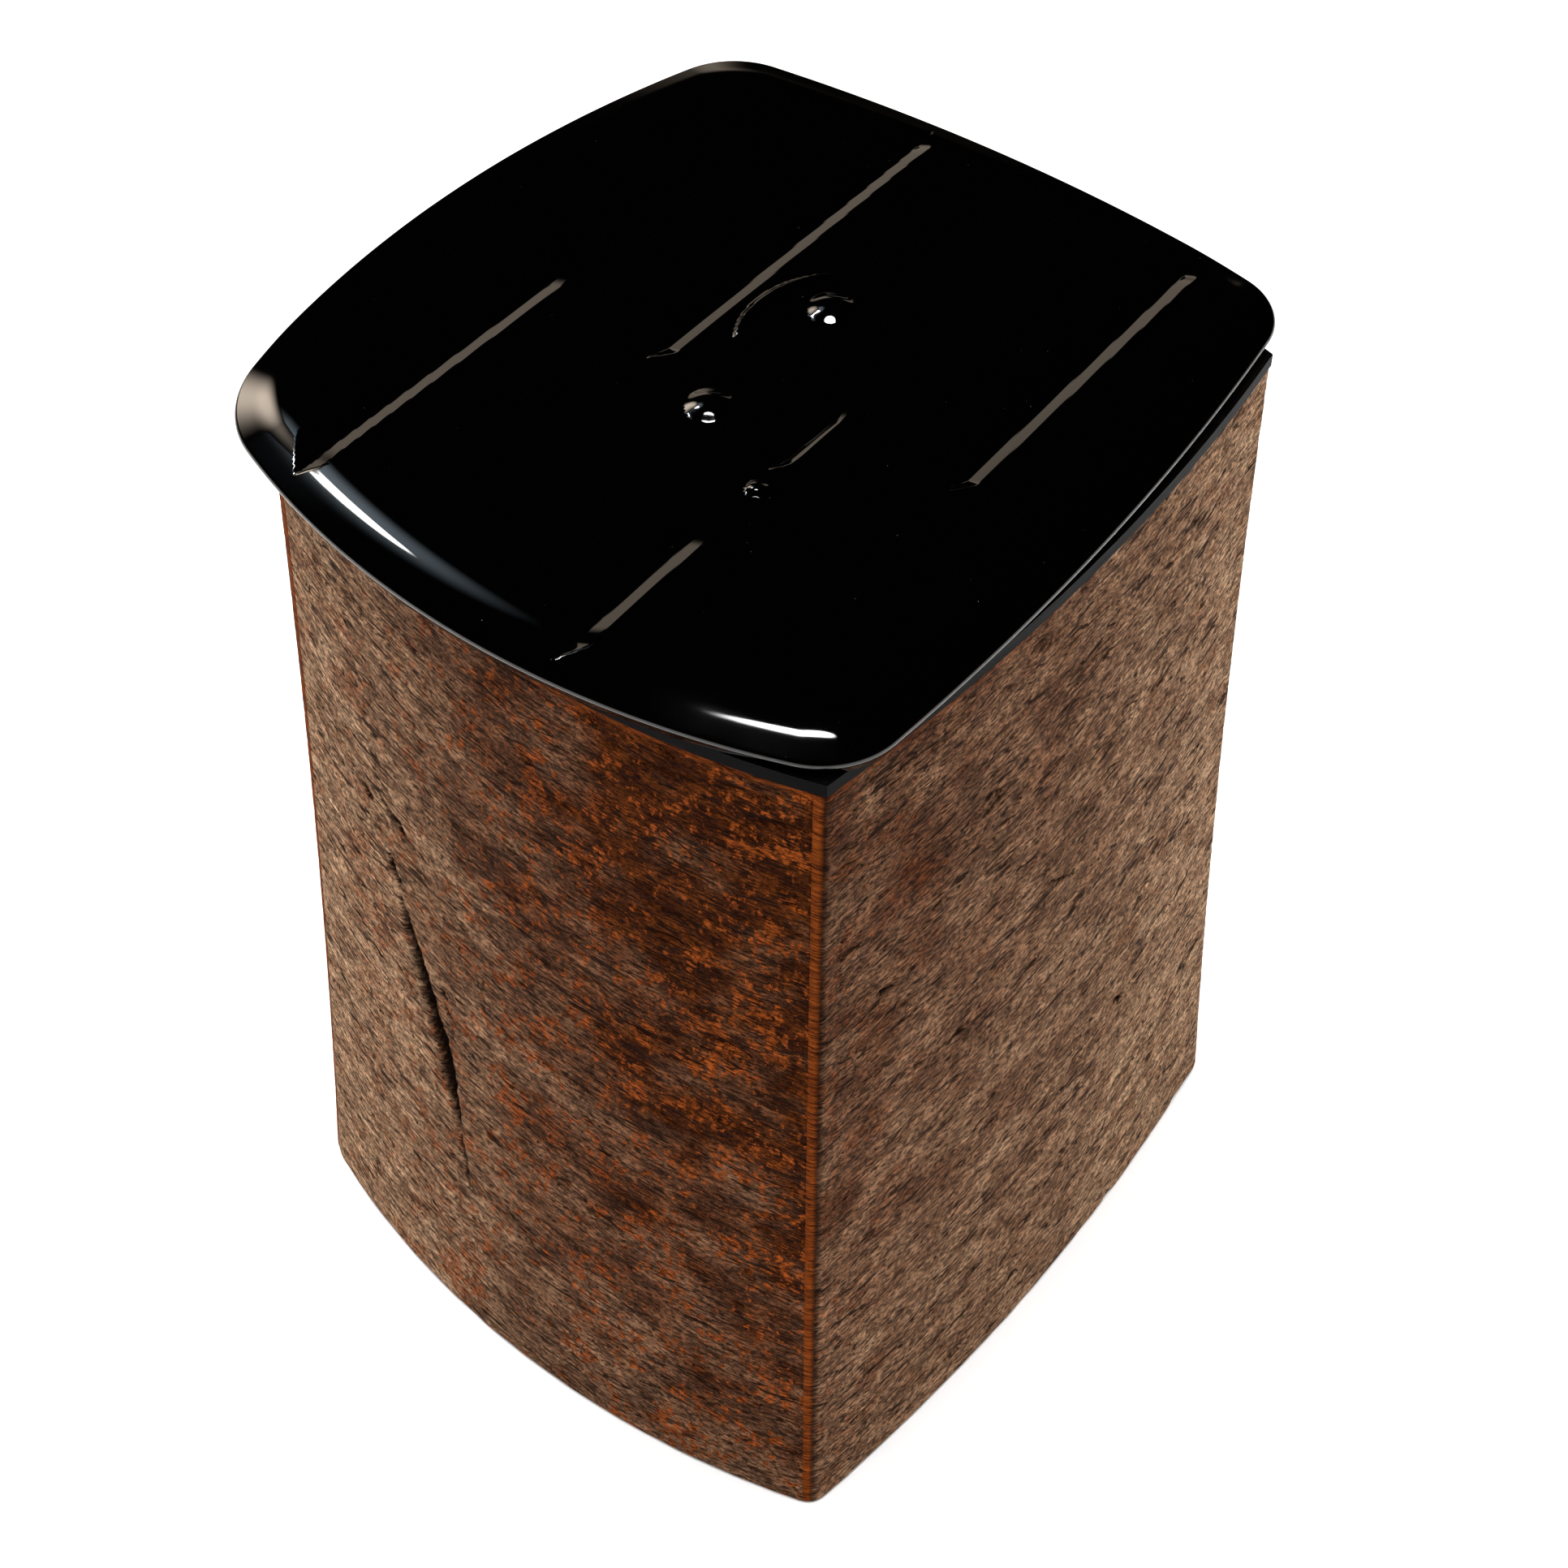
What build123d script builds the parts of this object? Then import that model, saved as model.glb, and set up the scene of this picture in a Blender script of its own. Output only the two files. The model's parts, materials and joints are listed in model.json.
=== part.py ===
from build123d import *
import os
from math import hypot, sqrt

# Four-sided tea caddy: bowed sides that flare to the foot, bark sheets over core boards,
# a lacquered mouth rim, an inner sleeve with an inner lid, and a carved lid.
# Millimetres, +Z up, origin at the centre of the underside.

os.makedirs("parts", exist_ok=True)

# ---------------------------------------------------------------- driving dimensions
BODY_HEIGHT = 108.5
# Corners of the plan at the mouth, anticlockwise from the front right one.
BODY_CORNERS = [(36.0, -34.6), (34.7, 35.4), (-31.9, 36.3), (-30.4, -32.4)]
# How far each side bows out past its corners: right, back, left, front.
BODY_BOWS = [2.6, 3.7, 6.9, 6.0]
FOOT_SCALE = 1.10  # plan size at the foot against the mouth
WAIST_SCALE = 1.0325  # plan size at half height, so the corners run in a hollow curve

BARK_THICK = 1.2
WALL_THICK = 5.0
RIM_HEIGHT = 1.4
VENEER_THICK = 0.8
VENEER_GAP = 0.2
BASE_THICK = 5.0
FIT_GAP = 0.1  # clearance of pieces glued inside the walls

LINER_THICK = 1.6
LINER_FLOOR_THICK = 0.8
LEDGE_DEPTH = 14.0  # from the mouth down to the top edge of the liner

LID_CORNERS = [(38.0, -33.4), (33.3, 40.3), (-33.5, 38.1), (-35.1, -34.0)]
LID_BOWS = [2.3, 2.9, 5.8, 8.1]
LID_RADII = [8.4, 7.0, 8.6, 12.0]
LID_EDGE = 0.9
LID_RISE = 2.5
SHOULDER_WIDTH = 6.0
SHOULDER_BLEND = 7.0

COLLAR_GAP = 0.5
COLLAR_THICK = 3.0
COLLAR_DEPTH = 7.0
COLLAR_CORNER = 2.5
COLLAR_LEAD_IN = 0.6  # chamfer that guides the collar into the mouth

INNER_LID_GAP = 0.5
INNER_LID_THICK = 2.5
INNER_LID_CORNER = 2.0
INNER_LID_ROUND = 0.6
KNOB_HEIGHT = 5.5
KNOB_RADIUS = 5.0
KNOB_NECK = 3.2
KNOB_FLARE = 0.6  # how far the knob's foot spreads past its neck
KNOB_NECK_RISE = 0.3  # share of the knob's height where the neck is narrowest
KNOB_CROWN_RISE = 0.75  # share of the knob's height where it is widest

GROOVE_RADIUS = 1.2
GROOVE_DEPTH = 0.6
GROOVE_END_MARGIN = 1.2  # flat left between a groove's end and the lid's edge
# Each groove: its X, its inner end's Y, and the side of the lid that it runs out to.
GROOVES = [(-22.4, 5.4, "front"), (-8.3, -5.9, "back"), (10.2, -14.9, "front"), (23.7, -3.0, "back")]
# The third groove goes on past a bead as a short one: its X and the Y of its two ends.
SHORT_GROOVE = (10.3, -10.8, 3.0)

# Domes of built-up lacquer: X, Y, radius and height of each.
DROPS = [(0.8, 11.0, 2.3, 0.8), (0.7, -6.9, 2.3, 0.8), (11.0, -12.9, 1.1, 0.5)]
CRESCENT_TIPS = [(-3.1, 1.3), (-2.2, 15.0)]
CRESCENT_BACK = (-5.2, 10.4)
CRESCENT_WIDTH = 1.1
CRESCENT_HEIGHT = 0.4

RIGHT, BACK, LEFT, FRONT = range(4)
SIDE_NAMES = ["right", "back", "left", "front"]

# ---------------------------------------------------------------- derived heights
WALL_TOP = BODY_HEIGHT - RIM_HEIGHT
BASE_TOP = VENEER_THICK + BASE_THICK
LINER_FOOT = BASE_TOP + LINER_FLOOR_THICK
LEDGE = BODY_HEIGHT - LEDGE_DEPTH
CAVITY_INSET = BARK_THICK + WALL_THICK
LINER_INSET = CAVITY_INSET + FIT_GAP
LID_FLAT = BODY_HEIGHT + LID_EDGE + LID_RISE


# ---------------------------------------------------------------- the bowed plan
def scale_at(height):
    """Plan size at a height, on the parabola through the foot, half height and the mouth."""
    up = height / WALL_TOP
    fall = 1 - up
    return FOOT_SCALE * fall * (1 - 2 * up) + WAIST_SCALE * 4 * up * fall + up * (2 * up - 1)


def side_circle(side, corners, bows, size=1.0):
    """Centre and radius of the arc of one side, bowed outwards from its two corners."""
    ax, ay = (size * v for v in corners[side])
    bx, by = (size * v for v in corners[(side + 1) % 4])
    bow = size * bows[side]
    length = hypot(bx - ax, by - ay)
    radius = (length**2 / 4 + bow**2) / (2 * bow)
    out_x, out_y = (by - ay) / length, (ax - bx) / length
    reach = radius - bow
    return ((ax + bx) / 2 - out_x * reach, (ay + by) / 2 - out_y * reach), radius


def meet(circle_a, circle_b, near):
    """The crossing of two circles that lies nearer to a point."""
    (ax, ay), ra = circle_a
    (bx, by), rb = circle_b
    gap = hypot(bx - ax, by - ay)
    along = (ra**2 - rb**2 + gap**2) / (2 * gap)
    aside = sqrt(ra**2 - along**2)
    ux, uy = (bx - ax) / gap, (by - ay) / gap
    found = [(ax + along * ux - s * aside * uy, ay + along * uy + s * aside * ux) for s in (1, -1)]
    return min(found, key=lambda p: hypot(p[0] - near[0], p[1] - near[1]))


def shrink(circle, inset):
    """The same arc moved inwards."""
    return circle[0], circle[1] - inset


def middle(circle, start, end):
    """The point of a circle half way between two of its points, on their side."""
    (cx, cy), radius = circle
    mx, my = (start[0] + end[0]) / 2 - cx, (start[1] + end[1]) / 2 - cy
    size = radius / hypot(mx, my)
    return cx + mx * size, cy + my * size


def outline(corners, bows, inset=0.0, size=1.0):
    """The four arcs of the whole plan, moved inwards by inset."""
    circles = [shrink(side_circle(i, corners, bows, size), inset) for i in range(4)]
    points = [meet(circles[i - 1], circles[i], corners[i]) for i in range(4)]
    with BuildLine() as line:
        for i in range(4):
            start, end = points[i], points[(i + 1) % 4]
            ThreePointArc(start, middle(circles[i], start, end), end)
    return line.line


def strip(side, outer, inner, outer_ends, inner_ends, size=1.0, inner_size=None):
    """The plan of one board or sheet: outer and inner are the insets of its own two arcs, and the
    ends are the insets of the neighbours' arcs where those two stop."""
    own = side_circle(side, BODY_CORNERS, BODY_BOWS, size)
    own_in = side_circle(side, BODY_CORNERS, BODY_BOWS, inner_size or size)
    ends = []
    for step in (-1, 1):
        beside = (side + step) % 4
        corner = BODY_CORNERS[side if step < 0 else beside]
        next_out = side_circle(beside, BODY_CORNERS, BODY_BOWS, size)
        next_in = side_circle(beside, BODY_CORNERS, BODY_BOWS, inner_size or size)
        ends.append(
            (
                meet(shrink(own, outer), shrink(next_out, outer_ends), corner),
                meet(shrink(own_in, inner), shrink(next_in, inner_ends), corner),
            )
        )
    (out_a, in_a), (out_b, in_b) = ends
    with BuildLine() as line:
        ThreePointArc(out_a, middle(shrink(own, outer), out_a, out_b), out_b)
        Line(out_b, in_b)
        ThreePointArc(in_b, middle(shrink(own_in, inner), in_b, in_a), in_a)
        Line(in_a, out_a)
    return line.line


def save(part, name):
    """Labels a finished piece and writes its file."""
    part.label = name
    export_step(part, f"parts/{name}.step")


# ---------------------------------------------------------------- core boards, mitred
for side, side_name in enumerate(SIDE_NAMES):
    with BuildPart() as wall:
        for height in (VENEER_THICK, WALL_TOP / 2, WALL_TOP):
            with BuildSketch(Plane.XY.offset(height)):
                add(strip(side, BARK_THICK, CAVITY_INSET, BARK_THICK, CAVITY_INSET, scale_at(height), 1.0))
                make_face()
        loft()
    save(wall.part, f"wall_{side_name}")

# ---------------------------------------------------------------- bark sheets
# The left and right sheets lap over the ends of the front and back ones.
for side, side_name in enumerate(SIDE_NAMES):
    lap = 0.0 if side in (RIGHT, LEFT) else BARK_THICK
    with BuildPart() as bark:
        for height in (0.0, WALL_TOP / 2, WALL_TOP):
            with BuildSketch(Plane.XY.offset(height)):
                add(strip(side, 0.0, BARK_THICK, lap, lap, scale_at(height)))
                make_face()
        loft()
    save(bark.part, f"bark_{side_name}")

# ---------------------------------------------------------------- mouth rim
with BuildPart() as mouth_rim:
    with BuildSketch(Plane.XY.offset(WALL_TOP)):
        add(outline(BODY_CORNERS, BODY_BOWS))
        make_face()
        with BuildSketch(mode=Mode.PRIVATE) as mouth:
            add(outline(BODY_CORNERS, BODY_BOWS, CAVITY_INSET))
            make_face()
        add(mouth.sketch, mode=Mode.SUBTRACT)
    extrude(amount=RIM_HEIGHT)
save(mouth_rim.part, "mouth_rim")

# ---------------------------------------------------------------- base
with BuildPart() as base_veneer:
    with BuildSketch():
        add(outline(BODY_CORNERS, BODY_BOWS, BARK_THICK + VENEER_GAP, FOOT_SCALE))
        make_face()
    extrude(amount=VENEER_THICK)
save(base_veneer.part, "base_veneer")

with BuildPart() as base_board:
    with BuildSketch(Plane.XY.offset(VENEER_THICK)):
        add(outline(BODY_CORNERS, BODY_BOWS, LINER_INSET))
        make_face()
    extrude(amount=BASE_THICK)
save(base_board.part, "base_board")

# ---------------------------------------------------------------- inner sleeve
with BuildPart() as liner_floor:
    with BuildSketch(Plane.XY.offset(BASE_TOP)):
        add(outline(BODY_CORNERS, BODY_BOWS, LINER_INSET))
        make_face()
    extrude(amount=LINER_FLOOR_THICK)
save(liner_floor.part, "liner_floor")

with BuildPart() as liner:
    with BuildSketch(Plane.XY.offset(LINER_FOOT)):
        add(outline(BODY_CORNERS, BODY_BOWS, LINER_INSET))
        make_face()
        with BuildSketch(mode=Mode.PRIVATE) as sleeve:
            add(outline(BODY_CORNERS, BODY_BOWS, LINER_INSET + LINER_THICK))
            make_face()
        add(sleeve.sketch, mode=Mode.SUBTRACT)
    extrude(amount=LEDGE - LINER_FOOT)
save(liner.part, "liner")

# ---------------------------------------------------------------- inner lid
with BuildPart() as inner_lid:
    with BuildSketch(Plane.XY.offset(LEDGE)) as plate:
        add(outline(BODY_CORNERS, BODY_BOWS, CAVITY_INSET + INNER_LID_GAP))
        make_face()
        fillet(plate.vertices(), INNER_LID_CORNER)
    extrude(amount=INNER_LID_THICK)
    fillet(inner_lid.edges().group_by(Axis.Z)[-1], INNER_LID_ROUND)
save(inner_lid.part, "inner_lid")

knob_foot = LEDGE + INNER_LID_THICK
knob_top = (0, knob_foot + KNOB_HEIGHT)
knob_flare = (KNOB_NECK + KNOB_FLARE, knob_foot)
knob_neck = (KNOB_NECK, knob_foot + KNOB_HEIGHT * KNOB_NECK_RISE)
knob_crown = (KNOB_RADIUS, knob_foot + KNOB_HEIGHT * KNOB_CROWN_RISE)
STEEP = (1, 5)  # the direction in which the profile passes its widest point

with BuildPart() as inner_lid_knob:
    with BuildSketch(Plane.XZ):
        with BuildLine():
            Polyline(knob_top, (0, knob_foot), knob_flare)
            Spline(knob_flare, knob_neck, knob_crown, tangents=[(-1, 2), STEEP])
            Spline(knob_crown, knob_top, tangents=[STEEP, (-1, 0)])
        make_face()
    revolve(axis=Axis.Z)
save(inner_lid_knob.part, "inner_lid_knob")

# ---------------------------------------------------------------- lid
GROOVE_AXIS = LID_FLAT + GROOVE_RADIUS - GROOVE_DEPTH


def lid_edge_y(x, side_name):
    """The Y of the lid's front or back edge at an X."""
    side = SIDE_NAMES.index(side_name)
    (cx, cy), radius = side_circle(side, LID_CORNERS, LID_BOWS)
    half = sqrt(radius**2 - (x - cx) ** 2)
    return cy + half if side_name == "back" else cy - half


def groove_route(x, inner_y, side_name):
    """Along the flat top, then down the shoulder to just short of the edge."""
    edge_y = lid_edge_y(x, side_name)
    outwards = 1 if side_name == "back" else -1
    break_y = edge_y - outwards * SHOULDER_WIDTH
    end_y = edge_y - outwards * GROOVE_END_MARGIN
    drop = (SHOULDER_WIDTH - GROOVE_END_MARGIN) * LID_RISE / SHOULDER_WIDTH
    return [(x, inner_y, GROOVE_AXIS), (x, break_y, GROOVE_AXIS), (x, end_y, GROOVE_AXIS - drop)]


short_x, short_from, short_to = SHORT_GROOVE
routes = [groove_route(*groove) for groove in GROOVES]
routes.append([(short_x, short_from, GROOVE_AXIS), (short_x, short_to, GROOVE_AXIS)])

with BuildPart() as lid_top:
    with BuildSketch(Plane.XY.offset(BODY_HEIGHT)) as board:
        add(outline(LID_CORNERS, LID_BOWS))
        make_face()
        for corner, radius in zip(LID_CORNERS, LID_RADII):
            fillet(board.vertices().sort_by_distance((*corner, 0))[0], radius)
    extrude(amount=LID_EDGE + LID_RISE)
    top_face = lid_top.faces().sort_by(Axis.Z)[-1]
    chamfer(top_face.edges(), length=SHOULDER_WIDTH, length2=LID_RISE, reference=top_face)
    break_edges = lid_top.faces().sort_by(Axis.Z)[-1].edges()
    fillet(break_edges, SHOULDER_BLEND)
    for route in routes:
        for start, end in zip(route, route[1:]):
            along = Vector(*end) - Vector(*start)
            with BuildSketch(Plane(origin=start, z_dir=along.normalized())):
                Circle(GROOVE_RADIUS)
            extrude(amount=along.length, mode=Mode.SUBTRACT)
        with Locations(*route):
            Sphere(GROOVE_RADIUS, mode=Mode.SUBTRACT)
save(lid_top.part, "lid_top")

with BuildPart() as lid_collar:
    with BuildSketch(Plane.XY.offset(BODY_HEIGHT - COLLAR_DEPTH)) as ring:
        add(outline(BODY_CORNERS, BODY_BOWS, CAVITY_INSET + COLLAR_GAP))
        make_face()
        fillet(ring.vertices(), COLLAR_CORNER)
        with BuildSketch(mode=Mode.PRIVATE) as hollow:
            add(outline(BODY_CORNERS, BODY_BOWS, CAVITY_INSET + COLLAR_GAP + COLLAR_THICK))
            make_face()
        add(hollow.sketch, mode=Mode.SUBTRACT)
    extrude(amount=COLLAR_DEPTH)
    chamfer(lid_collar.faces().sort_by(Axis.Z)[0].outer_wire().edges(), COLLAR_LEAD_IN)
save(lid_collar.part, "lid_collar")

with BuildPart() as lid_drops:
    for x, y, radius, rise in DROPS:
        curve = (radius**2 + rise**2) / (2 * rise)
        half_way = (radius / 2, rise - curve + sqrt(curve**2 - radius**2 / 4))
        with BuildSketch(Plane(origin=(x, y, LID_FLAT), x_dir=(1, 0, 0), z_dir=(0, -1, 0))):
            with BuildLine():
                Polyline((0, rise), (0, 0), (radius, 0))
                ThreePointArc((radius, 0), half_way, (0, rise))
            make_face()
        revolve(axis=Axis((x, y, 0), (0, 0, 1)))
save(lid_drops.part, "lid_drops")

with BuildPart() as lid_crescent:
    with BuildSketch(Plane.XY.offset(LID_FLAT)):
        with BuildLine():
            back_x, back_y = CRESCENT_BACK
            ThreePointArc(CRESCENT_TIPS[0], CRESCENT_BACK, CRESCENT_TIPS[1])
            ThreePointArc(CRESCENT_TIPS[1], (back_x + CRESCENT_WIDTH, back_y), CRESCENT_TIPS[0])
        make_face()
    extrude(amount=CRESCENT_HEIGHT)
save(lid_crescent.part, "lid_crescent")
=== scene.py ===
import json
from math import asin, cos, pi, radians, sin, sqrt, tan

import bpy
import numpy as np
from mathutils import Matrix, Vector
from mathutils.bvhtree import BVHTree


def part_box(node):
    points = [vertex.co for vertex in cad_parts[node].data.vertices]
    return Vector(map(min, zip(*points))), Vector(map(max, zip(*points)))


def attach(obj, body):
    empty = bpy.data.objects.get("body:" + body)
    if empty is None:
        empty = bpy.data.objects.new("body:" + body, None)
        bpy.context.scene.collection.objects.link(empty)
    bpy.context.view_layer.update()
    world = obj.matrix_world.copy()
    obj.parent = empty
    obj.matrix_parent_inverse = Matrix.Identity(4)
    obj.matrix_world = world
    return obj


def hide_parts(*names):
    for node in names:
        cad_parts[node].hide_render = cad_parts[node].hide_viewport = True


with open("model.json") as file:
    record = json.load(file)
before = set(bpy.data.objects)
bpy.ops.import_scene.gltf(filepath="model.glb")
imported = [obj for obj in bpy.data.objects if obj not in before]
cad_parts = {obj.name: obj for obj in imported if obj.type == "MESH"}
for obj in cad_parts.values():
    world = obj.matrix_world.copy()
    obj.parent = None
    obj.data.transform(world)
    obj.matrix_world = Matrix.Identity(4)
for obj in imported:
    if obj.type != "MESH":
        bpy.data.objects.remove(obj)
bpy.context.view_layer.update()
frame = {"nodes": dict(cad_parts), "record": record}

# The looks of a tea caddy: a carved black lacquered lid on a box covered with rough cherry bark.
# The frame is in metres. Shapes below are worked out in millimetres and scaled when a mesh is made.

MM = 0.001

# ---------------------------------------------------------------- lid, millimetres
LID_CELLS = (270, 290)
SHOULDER_WIDTH = 7.0
SHOULDER_FALL = 1.6  # the outermost part, which falls at an even slope
SHOULDER_SLOPE = 0.39
FAR_SHARE = 0.36  # how much flatter the shoulder is along the left and back sides
FAR_MIDDLE = 2.38  # where the middle of those is seen from the axis, how far they reach, radians
FAR_REACH = 1.62
FAR_FADE = 0.35
EDGE_RADIUS = 0.45  # where the shoulder turns down into the edge
FOOT_RADIUS = 0.2  # where the edge turns under
UNDERCUT = 0.45  # how far the edge leans in on its way down, in radians
EDGE_STEPS = 6
TIGHT_BEND = 0.03  # a corner of the plan turns more than this, in radians per millimetre

GROOVE_STEEP_WIDTH = 2.1  # from a groove's bottom to its rim on the side that faces left
GROOVE_RAMP_WIDTH = 3.4  # and on the side that faces right
V_ROUNDING = 0.15  # share of a groove's width that is rounded at its bottom and again at its rim
# Length over which a groove rises to nothing at its inner end, by the way it runs from there.
GROOVE_TAPERS = {-1: 8.0, 1: 3.5}
GROOVE_RUN_OUT = 3.6  # length over which it rises to nothing again before the edge
GROOVE_END_MARGIN = 1.2
LEAST_SHARE = 0.02  # the narrowest that a groove's section is worked out for
# Each groove: X and Y of the inner end, 1 where it runs to the back edge or -1 to the front, its
# depth, and how much X changes along Y.
GROOVES = [
    (-22.9, 5.4, -1, 0.65, 0.0),
    (-8.15, -5.9, 1, 0.67, -0.018),
    (9.75, -13.9, -1, 0.76, -0.025),
    (24.2, -3.0, 1, 0.79, -0.032),
]
SHORT_GROOVE = (10.2, -10.7, 3.6)  # X and the Y of its two ends
SHORT_GROOVE_DEPTH = 0.52
SHORT_GROOVE_WIDTH = 0.62  # against the long ones
DROP_SPREAD = 1.12  # how far a dome's foot blends out, against its radius
DROP_FULLNESS = 1.35
LEAST_DROP_RADIUS = 0.5

CRESCENT_HALF_WIDTH = 0.7
CRESCENT_HEIGHT = 0.45
CRESCENT_TIP_WIDTH = 0.35  # shares of the half width at the tips and added by the middle
CRESCENT_SWELL = 0.9
TOUCHING = 0.01  # what lies nearer than this is at the same place

# ---------------------------------------------------------------- bark, millimetres
BARK_COLUMNS = 215
BARK_ROWS = 400
BARK_THICK = 1.2
BARK_TILT = (0.10, -0.07, 0.0)  # how much the bark's lines fall along X and Y
INNER_ROWS = 24
INNER_SPACING = 12  # columns of the outer surface to one of the inner
CORNER_RADIUS_TOP = 1.0
CORNER_RADII_FOOT = (3.0, 5.0, 5.0, 8.0)  # right front, right back, left back, left front
SEAM_DEPTH = 0.07
SEAM_HALF_WIDTH = 0.2
# Painted shade along the corners of the box: how wide it is and how far it fades.
CORNER_DARK_WIDTH = 0.45
CORNER_DARK_FADE = 0.2
FOOT_ROUNDING = 0.35
CALM_WIDTH = 2.5  # beside a corner, where the relief fades
RELIEF_RANGE = 0.35  # depth at which the relief counts as full
LIP_HEIGHT = 0.9  # the worn top edge of a sheet
LIP_FADE = 0.5
LIP_CUT = 0.8
WAY_COLUMNS = 3  # columns over which a sheet's direction at a corner is measured
SKIN_FAR = 80  # a distance from the axis that is outside the caddy
SKIN_MARGIN = 0.05  # rays keep this far inside the top and foot
SKIN_ANGLES = 97  # steps at which the skin is measured, before it is filled in
SKIN_LEVELS = 25
NOISE_SIZE = 256

# ---------------------------------------------------------------- camera and lights, metres and degrees
CAMERA_LENS = 74.53
CAMERA_AZIMUTH = 37.91
CAMERA_ELEVATION = 47.59
CAMERA_ROLL = 0.82
CAMERA_DISTANCE = 0.3417
CAMERA_TARGET = (0.0028, 0.0022, 0.0546)
LID_MIDDLE = (0.0, 0.0, 0.11)
FLOOR_HALF = 30.0
DARK_CARD = (-0.5, 0.866, 0.0)  # the way to the dark card behind the object


# ================================================================ mesh and node helpers
def vertices_of(node):
    """A CAD node's vertices in millimetres."""
    mesh = frame["nodes"][node].data
    flat = np.zeros(len(mesh.vertices) * 3)
    mesh.vertices.foreach_get("co", flat)
    return flat.reshape(-1, 3) / MM


def make_piece(name, points, faces, body, material, replaced=(), normals=None, values=None):
    """A mesh object in the frame, from points in millimetres."""
    mesh = bpy.data.meshes.new(name)
    mesh.from_pydata((points * MM).tolist(), [], faces)
    mesh.validate()
    for key, numbers in (values or {}).items():
        layer = mesh.attributes.new(key, "FLOAT", "POINT")
        layer.data.foreach_set("value", np.asarray(numbers, np.float32))
    mesh.shade_smooth()
    if normals is not None:
        mesh.normals_split_custom_set_from_vertices(normals.tolist())
    piece = bpy.data.objects.new(name, mesh)
    bpy.context.scene.collection.objects.link(piece)
    piece.data.materials.append(material)
    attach(piece, body)
    if replaced:
        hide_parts(*replaced)
    return piece


def grid_faces(rows, columns, start=0, flip=False):
    """Quads over a grid of rows x columns points, numbered row by row."""
    index = start + np.arange(rows * columns).reshape(rows, columns)
    corners = [index[:-1, :-1], index[:-1, 1:], index[1:, 1:], index[1:, :-1]]
    if flip:
        corners.reverse()
    return np.stack([c.ravel() for c in corners], axis=1).tolist()


def smooth(value):
    """0 below 0, 1 above 1 and a smooth step between."""
    t = np.clip(value, 0, 1)
    return t * t * (3 - 2 * t)


def noise(u, v, cell_u, cell_v, seed):
    """Smooth random values from -1 to 1, with cells of the given size in millimetres."""
    table = np.random.default_rng(seed).uniform(-1, 1, (NOISE_SIZE, NOISE_SIZE))
    a, b = u / cell_u, v / cell_v
    i, j = np.floor(a).astype(int), np.floor(b).astype(int)
    s, t = smooth(a - i), smooth(b - j)
    i0, i1 = i % NOISE_SIZE, (i + 1) % NOISE_SIZE
    j0, j1 = j % NOISE_SIZE, (j + 1) % NOISE_SIZE
    low = table[i0, j0] * (1 - s) + table[i1, j0] * s
    high = table[i0, j1] * (1 - s) + table[i1, j1] * s
    return low * (1 - t) + high * t


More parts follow.
